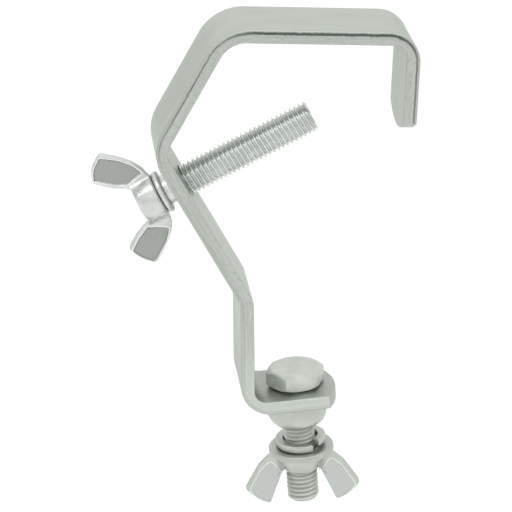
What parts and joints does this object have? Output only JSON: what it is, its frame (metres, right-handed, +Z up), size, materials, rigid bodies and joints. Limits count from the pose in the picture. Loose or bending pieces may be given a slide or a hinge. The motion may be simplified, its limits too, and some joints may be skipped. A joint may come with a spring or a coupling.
{
  "type": "pipe hook clamp",
  "caption": "Bent flat-bar hook clamp for stage pipe, with a threaded wing screw that grips the pipe and a hanging bolt with wing nut.",
  "frame": {"origin": "on the fixing bolt's axis, at the underside of the foot, where a yoke or bracket is hung", "axes": "+Z up along the fixing bolt towards the top bar, +X from the arm towards the hook's open side and its lip, Y along the pipe"},
  "size_m": [0.1008, 0.025, 0.1616],
  "materials": {
    "strap_plate": "bright zinc plate over rolled flat bar, satin",
    "bolt_plate": "bright zinc plate, satin",
    "washer_plate": "bright zinc plate, half gloss",
    "wing_plate": "bright zinc plate over pressed steel, half gloss",
    "screw_plate": "bright zinc plate over rolled thread, glossy"
  },
  "bodies": {
    "hook": {"hook_strap": "strap_plate", "fixing_bolt": "bolt_plate", "lock_nut": "bolt_plate"},
    "collar": {"screw_collar": "washer_plate"},
    "screw": {"clamp_screw": "screw_plate", "screw_wing": "wing_plate"},
    "washers": {"spring_washer": "washer_plate", "flat_washer": "washer_plate"},
    "wing_nut": {"wing_nut": "wing_plate"}
  },
  "joints": [
    {"name": "screw_travel", "type": "slide", "parent": "hook", "child": "collar", "axis": [0.9232, 0, 0.3843], "range_m": [-0.04, 0.0021]},
    {"name": "screw_turn", "type": "hinge", "parent": "collar", "child": "screw", "pos_m": [-0.03269, 0, 0.07382], "axis": [0.9232, 0, 0.3843], "range_deg": [-9630, 520]},
    {"name": "nut_travel", "type": "slide", "parent": "hook", "child": "washers", "axis": [0, 0, 1], "range_m": [-0.009, 0.0031]},
    {"name": "nut_turn", "type": "hinge", "parent": "washers", "child": "wing_nut", "pos_m": [0, 0, -0.019], "axis": [0, 0, 1], "range_deg": [-2175, 760]}
  ],
  "couplings": [
    {"joint": "screw_turn", "follows": "screw_travel", "rad_per_m": 4188.8},
    {"joint": "nut_turn", "follows": "nut_travel", "rad_per_m": 4188.8}
  ]
}
